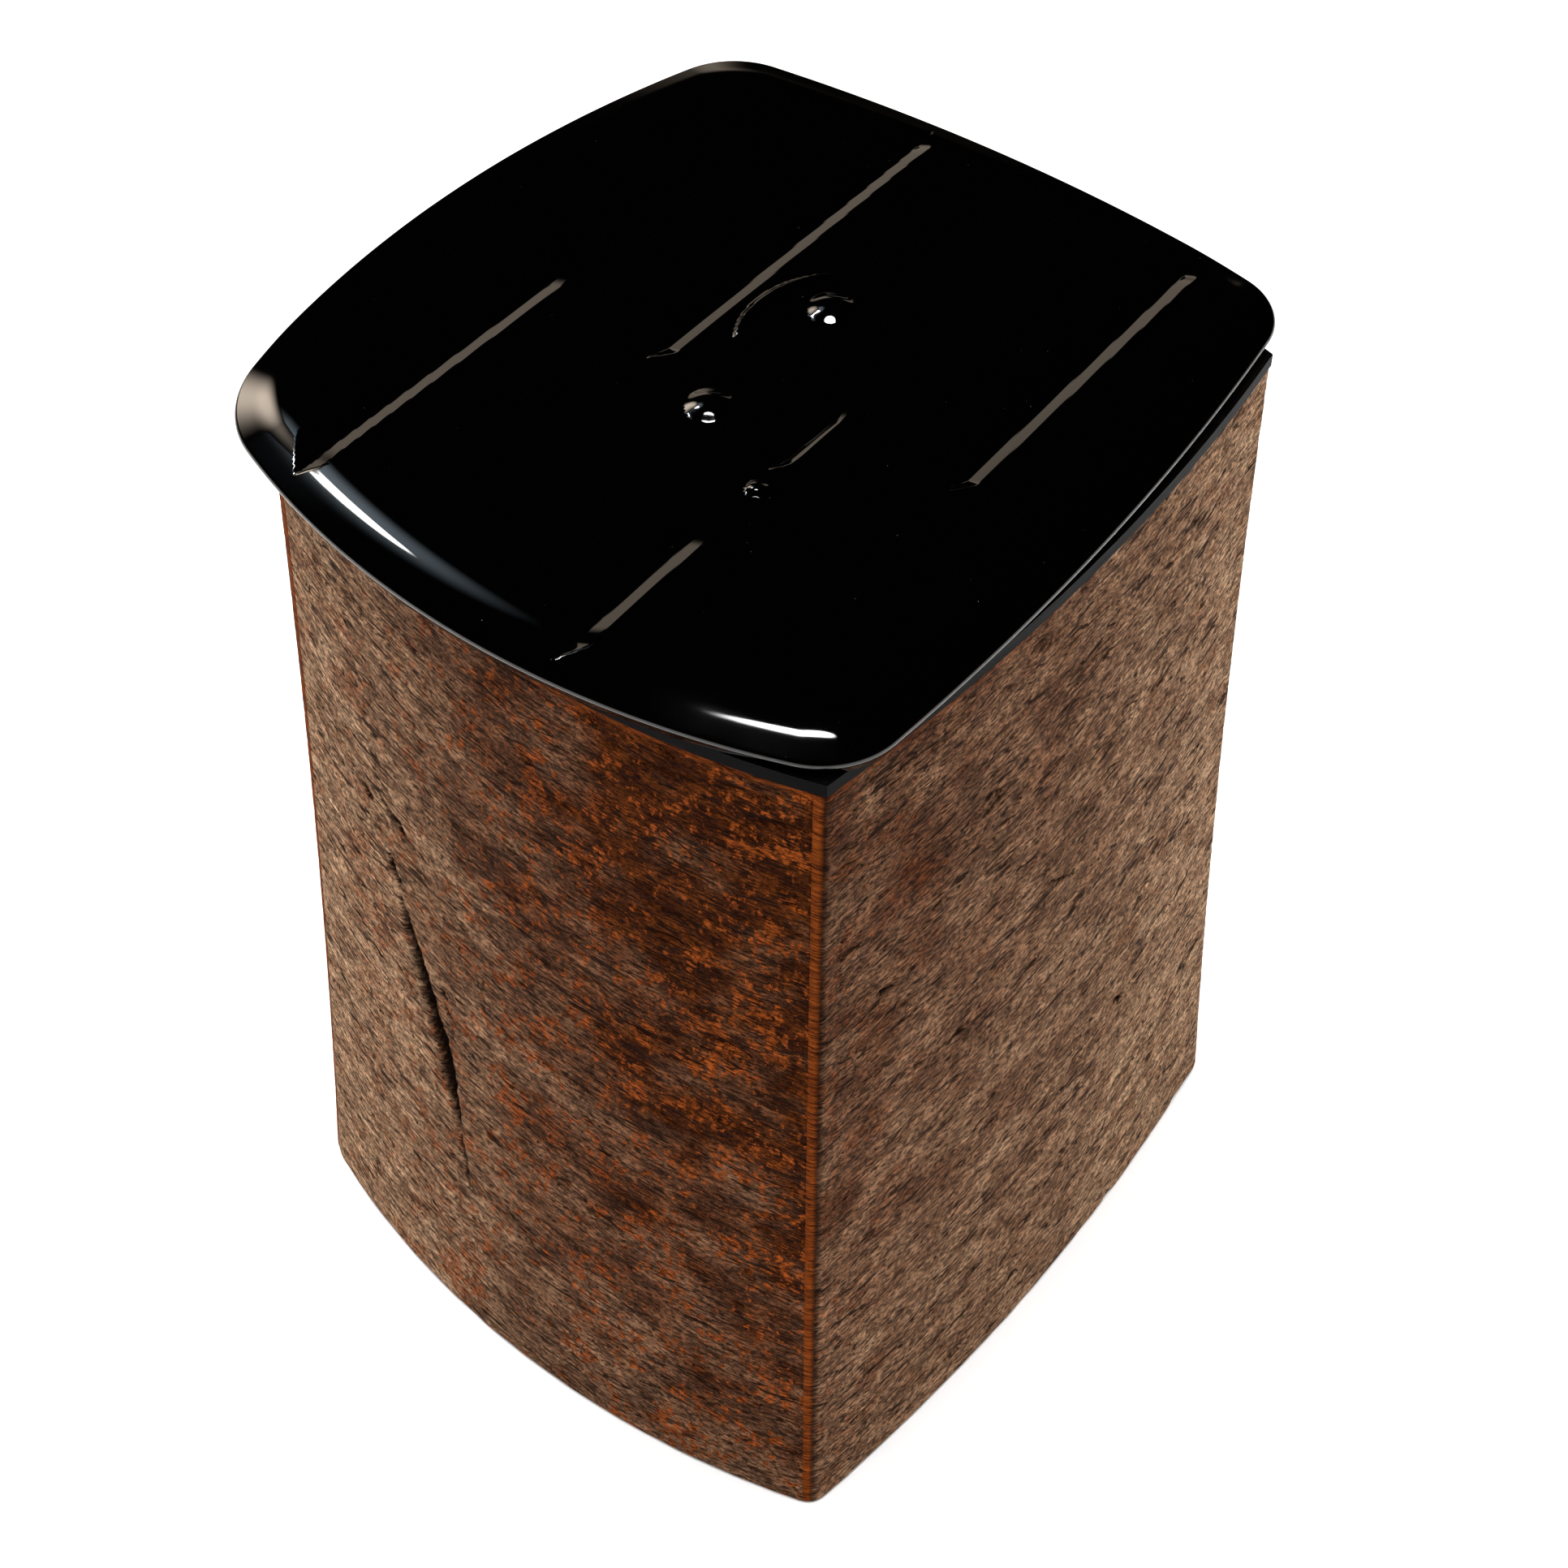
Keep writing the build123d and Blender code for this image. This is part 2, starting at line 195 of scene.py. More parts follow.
class Tree:
    """A material or world's node tree, with short ways to add nodes."""

    def __init__(self, owner):
        owner.use_nodes = True
        self.nodes = owner.node_tree.nodes
        self.links = owner.node_tree.links
        self.nodes.clear()

    def add(self, kind, settings=None, **inputs):
        """A node. An input is named by its socket, with _ for spaces, or i0, i1 by its number."""
        node = self.nodes.new(kind)
        for key, value in (settings or {}).items():
            setattr(node, key, value)
        for key, value in inputs.items():
            name = int(key[1:]) if key[1:].isdigit() else key.replace("_", " ")
            self.put(node.inputs[name], value)
        return node

    def put(self, socket, value):
        if isinstance(value, bpy.types.NodeSocket):
            self.links.new(value, socket)
        else:
            socket.default_value = value

    def maths(self, operation, a, b=0.0, c=0.0, clamp=False):
        node = self.add("ShaderNodeMath", {"operation": operation, "use_clamp": clamp}, i0=a, i1=b, i2=c)
        return node.outputs[0]

    def between(self, value, low, high):
        """0 at low, 1 at high, smooth between. low may be above high."""
        node = self.add("ShaderNodeMapRange", {"interpolation_type": "SMOOTHSTEP"}, Value=value)
        if low <= high:
            self.put(node.inputs["From Min"], low)
            self.put(node.inputs["From Max"], high)
            return node.outputs[0]
        self.put(node.inputs["From Min"], high)
        self.put(node.inputs["From Max"], low)
        return self.maths("SUBTRACT", 1.0, node.outputs[0])

    def mix(self, share, a, b, blend="MIX"):
        node = self.add("ShaderNodeMix", {"data_type": "RGBA", "blend_type": blend})
        for socket, value in zip((0, 6, 7), (share, a, b)):
            self.put(node.inputs[socket], value)
        return node.outputs[2]

    def grain(self, where, stretch, detail=2.0, rough=0.5, warp=0.0):
        """Noise whose cells are as long as stretch says, in millimetres, along X, Y and Z."""
        scaled = self.add("ShaderNodeMapping", None, Vector=where)
        self.put(scaled.inputs["Scale"], tuple(1 / s for s in stretch))
        made = self.add("ShaderNodeTexNoise", {"noise_dimensions": "3D"}, Vector=scaled.outputs[0], Scale=1.0)
        self.put(made.inputs["Detail"], detail)
        self.put(made.inputs["Roughness"], rough)
        self.put(made.inputs["Distortion"], warp)
        return made.outputs[0]

    def attribute(self, name):
        return self.add("ShaderNodeAttribute", {"attribute_name": name}).outputs["Fac"]

    def millimetres(self):
        """Object coordinates, in millimetres."""
        place = self.add("ShaderNodeTexCoord").outputs["Object"]
        node = self.add("ShaderNodeVectorMath", {"operation": "SCALE"}, i0=place)
        node.inputs["Scale"].default_value = 1 / MM
        return node.outputs[0]

    def bump(self, height, distance, under=None):
        """A bump of height 0 to 1 that stands distance millimetres high."""
        node = self.add("ShaderNodeBump", None, Height=height, Strength=1.0, Distance=distance * MM)
        if under is not None:
            self.put(node.inputs["Normal"], under)
        return node.outputs[0]

    def finish(self, colour, roughness, normal, **constants):
        shader = self.add("ShaderNodeBsdfPrincipled", None,
                          Base_Color=colour, Roughness=roughness, Normal=normal)
        for key, value in constants.items():
            shader.inputs[key.replace("_", " ")].default_value = value
        output = self.add("ShaderNodeOutputMaterial")
        self.links.new(shader.outputs[0], output.inputs[0])


def new_material(name):
    material = bpy.data.materials.new(name)
    return material, Tree(material)


# ================================================================ materials
def black_lacquer():
    material, t = new_material("black_lacquer")
    where = t.millimetres()
    swell = t.grain(where, (16, 16, 16), detail=1.0)
    peel = t.grain(where, (1.6, 1.6, 1.6), detail=1.0)
    dust = t.grain(where, (0.22, 0.22, 0.22), detail=0.0)
    dusty = t.between(dust, 0.90, 0.93)
    colour = t.mix(dusty, (0.0002, 0.0002, 0.0002, 1), (0.02, 0.019, 0.018, 1))
    haze = t.grain(where, (9, 22, 9), detail=3.0)
    roughness = t.maths("MULTIPLY_ADD", t.between(haze, 0.4, 0.75), 0.035, 0.03)
    roughness = t.maths("MAXIMUM", roughness, t.maths("MULTIPLY", dusty, 0.5))
    normal = t.bump(swell, 0.012)
    normal = t.bump(peel, 0.0006, normal)
    t.finish(colour, roughness, normal, IOR=1.5, Specular_IOR_Level=0.5)
    return material


def satin_lacquer(name, colour_a, colour_b, rough_low, rough_high, shine=0.5):
    """Lacquer rubbed by use: brown shows through at the worn places."""
    material, t = new_material(name)
    where = t.millimetres()
    wear = t.between(t.grain(where, (6, 6, 3), detail=4.0), 0.52, 0.72)
    lines = t.grain(where, (9, 9, 0.25), detail=2.0)
    colour = t.mix(wear, colour_a, colour_b)
    roughness = t.maths("MULTIPLY_ADD", lines, rough_high - rough_low, rough_low)
    normal = t.bump(lines, 0.02)
    t.finish(colour, roughness, normal, IOR=1.5, Specular_IOR_Level=shine)
    return material


def plain_wood(name, light, dark, along, roughness, shine):
    """Straight-grained wood whose grain runs along Z, or around in level rings on a plate."""
    material, t = new_material(name)
    where = t.millimetres()
    year = t.grain(where, along, detail=3.0, rough=0.55, warp=0.6)
    pores = t.grain(where, tuple(a * b for a, b in zip(along, (0.18, 0.18, 0.35))), detail=2.0)
    colour = t.mix(t.between(year, 0.35, 0.65), light, dark)
    dark_pores = t.between(pores, 0.42, 0.3)
    colour = t.mix(t.maths("MULTIPLY", dark_pores, 0.5), colour, tuple(c * 0.35 for c in dark[:3]) + (1,))
    rough = t.maths("MULTIPLY_ADD", pores, -0.2, roughness + 0.1)
    normal = t.bump(t.maths("ADD", t.maths("MULTIPLY", year, 0.4), pores), 0.05)
    t.finish(colour, rough, normal, IOR=1.45, Coat_Weight=shine, Coat_Roughness=0.25)
    return material


def cherry_bark():
    """Matt bark with level dashes, fibres and rust-red spots. The mesh says how warm each place is, with
    painted light and shade in that, where shade is painted over the splits and along the corners, and how
    freshly cut each place is."""
    material, t = new_material("cherry_bark")
    where = t.millimetres()
    warmth_and_shade, painted_shade, cut = t.attribute("warmth_and_shade"), t.attribute("painted_shade"), t.attribute("cut")
    relief, rusty = t.attribute("relief"), t.attribute("rusty")

    # Level lines that wander a little.
    drift = t.grain(where, (16, 16, 12), detail=2.0)
    tilt = t.add("ShaderNodeVectorMath", {"operation": "DOT_PRODUCT"}, i0=where, i1=BARK_TILT)
    shift = t.add("ShaderNodeCombineXYZ", None, Z=t.maths("MULTIPLY_ADD", drift, 1.4, tilt.outputs["Value"]))
    wavy = t.add("ShaderNodeVectorMath", {"operation": "ADD"}, i0=where, i1=shift.outputs[0]).outputs[0]

    cloud = t.grain(where, (9, 9, 7), detail=3.0)
    patch = t.grain(wavy, (3.4, 3.4, 1.8), detail=4.0, rough=0.65)
    crumb = t.grain(wavy, (0.6, 0.6, 0.3), detail=3.0, rough=0.65)
    dash = t.grain(wavy, (1.7, 1.7, 0.3), detail=3.0, rough=0.6)
    fibre = t.grain(wavy, (2.6, 2.6, 0.15), detail=3.0, rough=0.6)
    thread = t.grain(wavy, (9, 9, 1.1), detail=1.0, warp=0.3)
    torn = t.grain(where, (4.5, 4.5, 1.6), detail=2.0)
    rust = t.grain(where, (0.8, 0.8, 1.2), detail=3.0, rough=0.6)
    rust_area = t.grain(where, (5.0, 5.0, 4.0), detail=2.0)
    speck = t.grain(where, (0.8, 0.8, 0.5), detail=2.0, rough=0.6)

    # Painted light and shade: the pale tone stands for lit bark and the dark red-brown for shaded bark, mixed
    # by the painted light of each place with some random change of tone.
    pale_lit_tone = t.mix(t.between(patch, 0.36, 0.64), (0.245, 0.134, 0.074, 1), (0.44, 0.28, 0.17, 1))
    warm = t.mix(t.between(patch, 0.36, 0.64), (0.028, 0.0055, 0.0009, 1), (0.092, 0.0225, 0.0036, 1))
    tone = t.maths("ADD", warmth_and_shade, t.maths("MULTIPLY_ADD", cloud, 0.9, -0.45), clamp=True)
    colour = t.mix(tone, pale_lit_tone, warm)

    # Rust-red spots, mostly on one sheet.
    spots = t.between(t.maths("ADD", rust, t.maths("MULTIPLY", rust_area, 0.6)), 0.84, 0.93)
    spots = t.maths("MULTIPLY", spots, rusty)
    colour = t.mix(spots, colour, (0.225, 0.05, 0.0075, 1))

    # Grains and fibres, then the dark dashes, threads and pits between them.
    gain = t.maths("MULTIPLY_ADD", t.between(crumb, 0.36, 0.64), 1.2, 0.45)
    gain = t.maths("MULTIPLY", gain, t.maths("MULTIPLY_ADD", t.between(fibre, 0.36, 0.64), 0.6, 0.7))
    colour = t.mix(1.0, colour, gain, "MULTIPLY")
    # Dark colour of the dashes, also used for the painted shade in the hollows.
    shade = t.mix(tone, (0.05, 0.024, 0.012, 1), (0.012, 0.003, 0.0012, 1))
    dark = t.maths("MULTIPLY", t.between(dash, 0.45, 0.39), 0.8)
    colour = t.mix(dark, colour, shade)
    line = t.between(t.maths("ABSOLUTE", t.maths("SUBTRACT", thread, 0.5)), 0.03, 0.012)
    hair = t.maths("MULTIPLY", t.maths("MULTIPLY", line, t.between(torn, 0.46, 0.54)), 0.9)
    colour = t.mix(hair, colour, (0.014, 0.005, 0.0025, 1))
    pits = t.maths("MULTIPLY", t.between(speck, 0.345, 0.31), 0.85)
    colour = t.mix(pits, colour, (0.008, 0.003, 0.0015, 1))

    # Painted shade: the hollows of the mesh are darkened.
    low = t.between(relief, 0.4, 0.85)
    colour = t.mix(t.maths("MULTIPLY", low, 0.6), colour, shade)

    # The cut edge of a sheet shows fresh orange bark, and black is painted as shade over the splits and along
    # the corners of the box.
    fresh = t.mix(t.between(fibre, 0.35, 0.65), (0.07, 0.012, 0.002, 1), (0.30, 0.07, 0.009, 1))
    colour = t.mix(t.maths("MULTIPLY", cut, t.between(dash, 0.3, 0.45)), colour, fresh)
    colour = t.mix(painted_shade, colour, (0.004, 0.0015, 0.0008, 1))

    roughness = t.maths("MULTIPLY_ADD", patch, 0.2, 0.55)
    height = t.maths("ADD", t.maths("MULTIPLY", crumb, 0.9), t.maths("MULTIPLY", fibre, 0.35))
    height = t.maths("SUBTRACT", height, t.maths("MULTIPLY", dark, 0.35))
    height = t.maths("SUBTRACT", height, t.maths("MULTIPLY", hair, 0.3))
    height = t.maths("SUBTRACT", height, t.maths("MULTIPLY", pits, 0.35))
    normal = t.bump(height, 0.6)
    t.finish(colour, roughness, normal, IOR=1.45, Specular_IOR_Level=0.015)
    return material


# ================================================================ lid
def circle_through(a, b, c):
    """Centre and radius of the circle through three points."""
    rows = 2 * np.array([b - a, c - a])
    centre = np.linalg.solve(rows, [b @ b - a @ a, c @ c - a @ a])
    return centre, np.linalg.norm(a - centre)


class Outline:
    """The lid's plan: four corner arcs and four side arcs, read from a ring of its points."""

    def __init__(self, ring):
        step = np.roll(ring, -1, axis=0) - ring
        length = np.linalg.norm(step, axis=1)
        heading = np.arctan2(step[:, 1], step[:, 0])
        turn = (heading - np.roll(heading, 1) + pi) % (2 * pi) - pi
        tight = turn / np.minimum(length, np.roll(length, 1)) > TIGHT_BEND
        first = int(np.argmax(tight & ~np.roll(tight, 1)))
        ring, tight = np.roll(ring, -first, axis=0), np.roll(tight, -first)
        ends = [i for i in range(len(ring)) if tight[i] != tight[i - 1]] + [len(ring)]
        self.arcs = []
        for start, end in zip(ends, ends[1:]):
            reach = (start, end - 1) if tight[start] else (start - 1, end)
            here = [ring[i % len(ring)] for i in (reach[0], sum(reach) // 2, reach[1])]
            centre, radius = circle_through(*here)
            low, high = (np.arctan2(*(p - centre)[::-1]) for p in (here[0], here[2]))
            self.arcs.append((centre, radius, low, low + (high - low) % (2 * pi)))
        self.corners, self.sides = self.arcs[0::2], self.arcs[1::2]

    def inset(self, x, y):
        """Distance from the edge to a point inside it."""
        away = [radius - np.hypot(x - c[0], y - c[1]) for c, radius, _, _ in self.sides]
        distance = np.min(away, axis=0)
        for c, radius, low, high in self.corners:
            angle = (np.arctan2(y - c[1], x - c[0]) - low) % (2 * pi)
            distance = np.where(angle < high - low, radius - np.hypot(x - c[0], y - c[1]), distance)
        return distance

    def quarter(self, i, inset, count):
        """Points and outward directions from the middle of corner i to the middle of the next."""
        corner, side, following = self.corners[i], self.sides[i], self.corners[(i + 1) % 4]
        spans = [
            (corner[0], corner[1] - inset, (corner[2] + corner[3]) / 2, corner[3]),
            (side[0], side[1] - inset, side[2], side[3]),
            (following[0], following[1] - inset, following[2], (following[2] + following[3]) / 2),
        ]
        lengths = [radius * (high - low) for _, radius, low, high in spans]
        knots = np.concatenate([[0], np.cumsum(lengths)])
        points, outward = [], []
        for along in np.linspace(0, knots[-1], count + 1):
            k = min(int(np.searchsorted(knots, along, side="right")) - 1, 2)
            centre, radius, low, _ = spans[k]
            angle = low + (along - knots[k]) / radius
            outward.append((cos(angle), sin(angle)))
            points.append(centre + radius * np.array(outward[-1]))
        return np.array(points), np.array(outward)


def shoulder_drop(inset):
    """How far the top lies below the flat at a distance from the edge."""
    bend = SHOULDER_WIDTH - SHOULDER_FALL
    t = np.clip((inset - SHOULDER_FALL) / bend, 0, 1)
    curved = bend * (0.5 - t + t**3 - t**4 / 2)
    return SHOULDER_SLOPE * (curved + np.maximum(SHOULDER_FALL - inset, 0))


def steepness_at(x, y):
    """The shoulder's steepness: 1 but along the left and back sides, where it is flatter."""
    turn = (np.arctan2(y, x) - FAR_MIDDLE + pi) % (2 * pi) - pi
    return 1 - FAR_SHARE * smooth((FAR_REACH - np.abs(turn)) / FAR_FADE)


def hollow(across, half_width):
    """A V section, 1 on its line and 0 from its half width on, rounded at the bottom and the rims."""
    t = np.clip(np.abs(across) / half_width, 0, 1)
    low, high = np.minimum(t, V_ROUNDING), np.maximum(t - 1 + V_ROUNDING, 0)
    return 1 - (t - low + (low**2 - high**2) / (2 * V_ROUNDING)) / (1 - V_ROUNDING)


class LidShape:
    """Height of the lid's top, in millimetres, with its grooves, domes and crescent."""

    def __init__(self, outline, flat):
        self.outline, self.flat = outline, flat
        self.domes = self.read_domes()
        self.bow = self.read_crescent()

    def read_domes(self):
        """Centre, radius and rise of each solid in the node of domes."""
        points = vertices_of("lid_drops")
        domes = []
        while len(points):
            peak = points[np.argmax(points[:, 2])]
            away = np.hypot(*(points[:, :2] - peak[:2]).T)
            foot = points[:, 2] < self.flat + TOUCHING
            gap = np.sort(away[foot])
            radius = gap[np.searchsorted(gap, LEAST_DROP_RADIUS) :][0]
            domes.append((peak[0], peak[1], radius, peak[2] - self.flat))
            points = points[away > radius + TOUCHING]
        return domes

    def read_crescent(self):
        """The crescent's line: its circle, the angle of its middle and its half angle."""
        points = vertices_of("lid_crescent")[:, :2]
        gaps = np.linalg.norm(points[:, None] - points[None], axis=2)
        tip_a, tip_b = (points[i] for i in np.unravel_index(np.argmax(gaps), gaps.shape))
        chord = (tip_b - tip_a) / np.linalg.norm(tip_b - tip_a)
        off = (points - tip_a) @ np.array([-chord[1], chord[0]])
        back = points[np.argmax(np.abs(off))]
        inward = (tip_a + tip_b) / 2 - back
        ridge = back + CRESCENT_HALF_WIDTH * inward / np.linalg.norm(inward)
        centre, radius = circle_through(tip_a, ridge, tip_b)
        middle = np.arctan2(*(back - centre)[::-1])
        half = asin(np.linalg.norm(tip_b - tip_a) / 2 / radius)
        return centre, radius, middle, half

    def grooves(self, x, y):
        """Depth cut by the grooves."""
        deep = np.zeros_like(x)
        inset = self.outline.inset(x, y)
        end = smooth((inset - GROOVE_END_MARGIN) / GROOVE_RUN_OUT)
        for at, inner, towards, depth, lean in GROOVES:
            along = (y - inner) * towards
            share = smooth(along / GROOVE_TAPERS[towards]) * end
            line = at + lean * (y - inner)
            deep = np.maximum(deep, depth * self.section(x - line, share) * share)
        at, low, high = SHORT_GROOVE
        share = (y - low) / (high - low)
        body = smooth(share * 5) * smooth((1 - share) * 3)
        section = self.section(x - at, SHORT_GROOVE_WIDTH * body)
        return np.maximum(deep, SHORT_GROOVE_DEPTH * section * body)

    def section(self, across, share):
        """A groove's section: steep on the side of +X and a gentle ramp on the other."""
        reach = np.where(across > 0, GROOVE_STEEP_WIDTH, GROOVE_RAMP_WIDTH)
        return hollow(across, reach * np.maximum(share, LEAST_SHARE))

    def domed(self, x, y):
        """Height added by the domes of lacquer."""
        height = np.zeros_like(x)
        for cx, cy, radius, rise in self.domes:
            away = np.hypot(x - cx, y - cy) / (radius * DROP_SPREAD)
            height = np.maximum(height, rise * np.clip(1 - away**2, 0, 1) ** DROP_FULLNESS)
        return height

    def crescent(self, x, y):
        """Height added by the crescent."""
        centre, radius, middle, half = self.bow
        dx, dy = x - centre[0], y - centre[1]
        angle = (np.arctan2(dy, dx) - middle + pi) % (2 * pi) - pi
        share = np.clip(1 - (angle / half) ** 2, 0, 1)
        width = CRESCENT_HALF_WIDTH * (CRESCENT_TIP_WIDTH + CRESCENT_SWELL * share)
        return CRESCENT_HEIGHT * hollow(np.hypot(dx, dy) - radius, width) * smooth(2.5 * share)

    def height(self, x, y):
        top = self.flat - shoulder_drop(self.outline.inset(x, y)) * steepness_at(x, y)
        return top - self.grooves(x, y) + self.domed(x, y) + self.crescent(x, y)

    def normal(self, x, y, step=0.02):
        """Upward unit normals, by central differences."""
        slope_x = (self.height(x + step, y) - self.height(x - step, y)) / (2 * step)
        slope_y = (self.height(x, y + step) - self.height(x, y - step)) / (2 * step)
        up = np.stack([-slope_x, -slope_y, np.ones_like(x)], axis=-1)
        return up / np.linalg.norm(up, axis=-1, keepdims=True)


def read_outline(node):
    """The outline of a node's underside."""
    points = vertices_of(node)
    low = points[points[:, 2] < points[:, 2].min() + 0.01][:, :2]
    ring = np.unique(low.round(4), axis=0)
    middle = ring.mean(axis=0)
    order = np.argsort(np.arctan2(ring[:, 1] - middle[1], ring[:, 0] - middle[0]))
    return Outline(ring[order])


def lid_mesh(shape, bottom):
    """Points, faces and normals: a grid over the top, then rings down the edge and under."""
    lean = np.arctan(SHOULDER_SLOPE)
    start = EDGE_RADIUS * (1 - sin(lean))
    across, along = LID_CELLS
    counts = (across, along, across, along)
    quarters = [shape.outline.quarter(i, start, counts[i]) for i in range(4)]
    south, east = quarters[0][0], quarters[1][0]
    north, west = quarters[2][0][::-1], quarters[3][0][::-1]
    u = np.linspace(0, 1, across + 1)[None, :, None]
    v = np.linspace(0, 1, along + 1)[:, None, None]
    flat = (1 - v) * south[None] + v * north[None] + (1 - u) * west[:, None] + u * east[:, None]
    flat -= (1 - u) * (1 - v) * south[0] + u * (1 - v) * south[-1]
    flat -= (1 - u) * v * north[0] + u * v * north[-1]
    x, y = flat[..., 0].ravel(), flat[..., 1].ravel()
    points = [np.stack([x, y, shape.height(x, y)], axis=1)]
    normals = [shape.normal(x, y)]
    faces = grid_faces(along + 1, across + 1)

    index = np.arange((along + 1) * (across + 1)).reshape(along + 1, across + 1)
    rim = np.concatenate([index[0, :-1], index[:-1, -1], index[-1, :0:-1], index[:0:-1, 0]])
    outward = np.concatenate([q[1][:-1] for q in quarters])
    edge = np.concatenate([q[0][:-1] for q in quarters]) + start * outward
    steepness = steepness_at(edge[:, 0], edge[:, 1])
    leans = np.arctan(SHOULDER_SLOPE * steepness)
    turn_top = shape.flat - float(shoulder_drop(start)) * steepness - EDGE_RADIUS * np.cos(leans)
    profile = []
    for share in np.linspace(0, 1, EDGE_STEPS + 1)[1:]:
        a = (pi / 2 - leans) * (1 - share) - UNDERCUT * share
        profile.append((EDGE_RADIUS * (1 - np.cos(a)), turn_top + EDGE_RADIUS * np.sin(a), a))
    turn_foot = bottom + FOOT_RADIUS
    lowest = turn_foot - FOOT_RADIUS * sin(UNDERCUT)
    inmost = profile[-1][0] + (profile[-1][1] - lowest) * tan(UNDERCUT)
    for tilt in np.linspace(-UNDERCUT, -pi / 2, EDGE_STEPS + 1):
        a = np.full(len(rim), tilt)
        inset = inmost + FOOT_RADIUS * (cos(UNDERCUT) - np.cos(a))
        profile.append((inset, turn_foot + FOOT_RADIUS * np.sin(a), a))
    total = len(points[0])
    last = rim
    for inset, height, tilt in profile:
        ring = total + np.arange(len(rim))
        points.append(np.column_stack([edge - inset[:, None] * outward, height]))
        normals.append(np.column_stack([outward * np.cos(tilt)[:, None], np.sin(tilt)]))
        faces += np.stack([last, ring, np.roll(ring, -1), np.roll(last, -1)], axis=1).tolist()
        total += len(rim)
        last = ring
    faces.append(last[::-1].tolist())
    return np.concatenate(points), faces, np.concatenate(normals)


def build_lid(material):
    bottom, top = (corner.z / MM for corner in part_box("lid_top"))
    shape = LidShape(read_outline("lid_top"), top)
    points, faces, normals = lid_mesh(shape, bottom)
    replaced = ("lid_top", "lid_drops", "lid_crescent")
    return make_piece("lid_board", points, faces, "lid", material, replaced, normals)


# ================================================================ bark
class Skin:
    """The outer surface of the four bark sheets, as a radius at each angle and height."""

    def __init__(self, nodes):
        points, faces, corners = [], [], []
        for node in nodes:
            mesh = frame["nodes"][node].data
            faces += [[i + len(points) for i in f.vertices] for f in mesh.polygons]
            points += [v.co / MM for v in mesh.vertices]
        self.tree = BVHTree.FromPolygons(points, faces)
        cloud = np.array(points)
        self.foot, self.top = cloud[:, 2].min(), cloud[:, 2].max()
        mouth = cloud[cloud[:, 2] > self.top - TOUCHING]
        for sign_x, sign_y in ((1, -1), (1, 1), (-1, 1), (-1, -1)):
            score = mouth[:, 0] * sign_x + mouth[:, 1] * sign_y
            corners.append(mouth[np.argmax(score), :2])
        self.angles = [float(np.arctan2(y, x)) for x, y in corners]

    def radius(self, angle, height):
        """Distance from the axis to the outer surface."""
        way = Vector((cos(angle), sin(angle), 0))
        start = way * SKIN_FAR
        start.z = min(max(height, self.foot + SKIN_MARGIN), self.top - SKIN_MARGIN)
        hit = self.tree.ray_cast(start, -way)[0]
        return sqrt(hit.x**2 + hit.y**2)

    def side(self, i, columns, rows):
        """Points over one side, corner to corner, at even steps, and the distance along it."""
        low, high = self.angles[i], self.angles[(i + 1) % 4]
        high = low + (high - low) % (2 * pi)
        coarse = np.linspace(low, high, SKIN_ANGLES)
        levels = np.linspace(self.foot, self.top, SKIN_LEVELS)
        table = np.array([[self.radius(a, z) for a in coarse] for z in levels])
        middle = table[len(levels) // 2]
        walk = np.hypot(np.diff(middle * np.cos(coarse)), np.diff(middle * np.sin(coarse)))
        walked = np.concatenate([[0], np.cumsum(walk)])
        along = np.linspace(0, walked[-1], columns + 1)
        angles = np.interp(along, walked, coarse)
        heights = np.linspace(self.foot, self.top, rows + 1)
        by_level = np.array([np.interp(angles, coarse, row) for row in table])
        radii = np.array([np.interp(heights, levels, column) for column in by_level.T]).T
        x, y = radii * np.cos(angles), radii * np.sin(angles)
        z = np.repeat(heights[:, None], columns + 1, axis=1)
        return np.stack([x, y, z], axis=-1), along


def distance_to_line(u, v, line):
    """Distance to a polyline and the share of its length passed there."""
    best = np.full(u.shape, np.inf)
    share = np.zeros(u.shape)
    line = np.array(line, float)
    pieces = np.linalg.norm(np.diff(line, axis=0), axis=1)
    passed = np.concatenate([[0], np.cumsum(pieces)]) / pieces.sum()
    for (au, av), (bu, bv), low, high in zip(line, line[1:], passed, passed[1:]):
        du, dv = bu - au, bv - av
        t = np.clip(((u - au) * du + (v - av) * dv) / (du * du + dv * dv), 0, 1)
        away = np.hypot(u - au - t * du, v - av - t * dv)
        share = np.where(away < best, low + (high - low) * t, share)
        best = np.minimum(best, away)
    return best, share


# Splits and knots: points across the sheet and up, then the half width and depth.
# Across is X on the front sheet and Y on the right one.
FRONT_SPLITS = [
    ([(-13.4, 61.5), (-12.2, 57.0), (-9.9, 49.5), (-7.8, 43.2), (-6.4, 35.0), (-6.0, 31.5)], 1.45, 1.0),
    ([(-6.0, 32.0), (-5.2, 27.5), (-4.8, 23.0)], 0.35, 0.25),
    ([(-15.9, 74.6), (-14.2, 73.0), (-12.6, 72.8), (-11.4, 70.6)], 0.5, 0.45),
    ([(-14.9, 66.8), (-14.2, 64.9), (-13.3, 62.6)], 0.6, 0.5),
    ([(-18.3, 73.2), (-17.4, 72.4)], 0.5, 0.4),
    ([(-7.5, 52.6), (-7.1, 51.6)], 0.45, 0.35),
    ([(-7.1, 50.1), (-6.6, 49.5)], 0.4, 0.35),
    ([(-6.7, 46.9), (-6.2, 46.1)], 0.3, 0.3),
]
